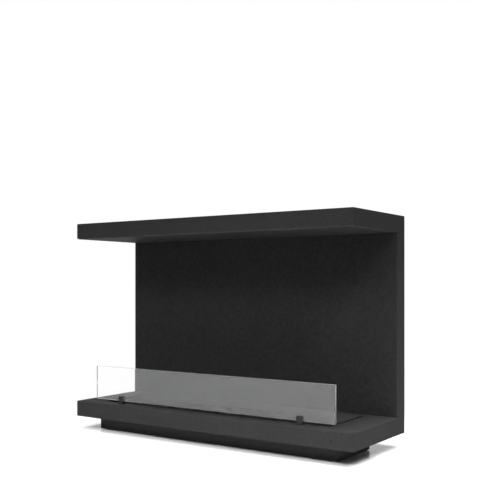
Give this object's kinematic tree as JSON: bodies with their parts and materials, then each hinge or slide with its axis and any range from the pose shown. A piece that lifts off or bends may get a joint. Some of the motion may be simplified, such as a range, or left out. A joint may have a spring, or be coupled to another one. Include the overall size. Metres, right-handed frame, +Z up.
{
  "type": "bioethanol fireplace",
  "caption": "Three-sided bioethanol fireplace: C-shaped black steel hood, back and base on a recessed plinth, with a lift-out burner, sliding flame shutters and a low glass guard.",
  "frame": {"origin": "on the floor, under the middle of the body's outline", "axes": "+X along the front to the viewer's right, +Y to the back, +Z up"},
  "size_m": [1, 0.325, 0.667],
  "materials": {
    "powder_coat": "satin",
    "heat_panel": "matte",
    "plinth_coat": "satin",
    "inner_steel": "satin",
    "well_coat": "matte",
    "stainless": "satin",
    "burner_black": "satin",
    "wool": "matte",
    "board": "matte",
    "glass": "polished",
    "clip_black": "satin",
    "silicone": "matte",
    "glide_rubber": "matte",
    "zinc_steel": "satin",
    "black_screw": "satin"
  },
  "bodies": {
    "body": {"left_cheek": "powder_coat", "right_cheek": "powder_coat", "hood_top_cover": "powder_coat", "hood_soffit_pan": "powder_coat", "back_inner_panel": "heat_panel", "back_outer_panel": "powder_coat", "base_deck_pan": "powder_coat", "base_bottom_pan": "powder_coat", "c_frame_left": "inner_steel", "c_frame_right": "inner_steel", "hood_frame_left": "inner_steel", "hood_frame_right": "inner_steel", "hood_insulation_board": "board", "back_insulation_board": "board", "plinth_front_rail": "plinth_coat", "plinth_rear_rail": "plinth_coat", "plinth_left_rail": "plinth_coat", "plinth_right_rail": "plinth_coat", "burner_well": "well_coat", "glass_clip_left": "clip_black", "glass_clip_right": "clip_black", "clip_liner_left": "silicone", "clip_liner_right": "silicone", "clip_screws": "zinc_steel", "plinth_screws": "zinc_steel", "plinth_weld_nuts": "zinc_steel", "rear_panel_screws": "black_screw", "rear_rivet_nuts": "zinc_steel", "glide_pad_front_left": "glide_rubber", "glide_pad_front_right": "glide_rubber", "glide_pad_rear_left": "glide_rubber", "glide_pad_rear_right": "glide_rubber"},
    "glass": {"glass_pane": "glass"},
    "burner": {"burner_casing": "stainless", "burner_top_plate": "burner_black", "fuel_tray": "stainless", "ceramic_wool_core": "wool", "perforated_plate": "stainless", "shutter_guide_front": "stainless", "shutter_guide_rear": "stainless", "lid_nuts": "zinc_steel"},
    "shutter_left": {"shutter_left": "burner_black"},
    "shutter_right": {"shutter_right": "burner_black"}
  },
  "joints": [
    {"name": "glass_lift", "type": "slide", "parent": "body", "child": "glass", "axis": [0, 0, 1], "range_m": [0, 0.12]},
    {"name": "burner_lift", "type": "slide", "parent": "body", "child": "burner", "axis": [0, 0, 1], "range_m": [0, 0.14]},
    {"name": "shutter_left_slide", "type": "slide", "parent": "burner", "child": "shutter_left", "axis": [-1, 0, 0], "range_m": [0, 0.186]},
    {"name": "shutter_right_slide", "type": "slide", "parent": "burner", "child": "shutter_right", "axis": [1, 0, 0], "range_m": [0, 0.186]}
  ]
}
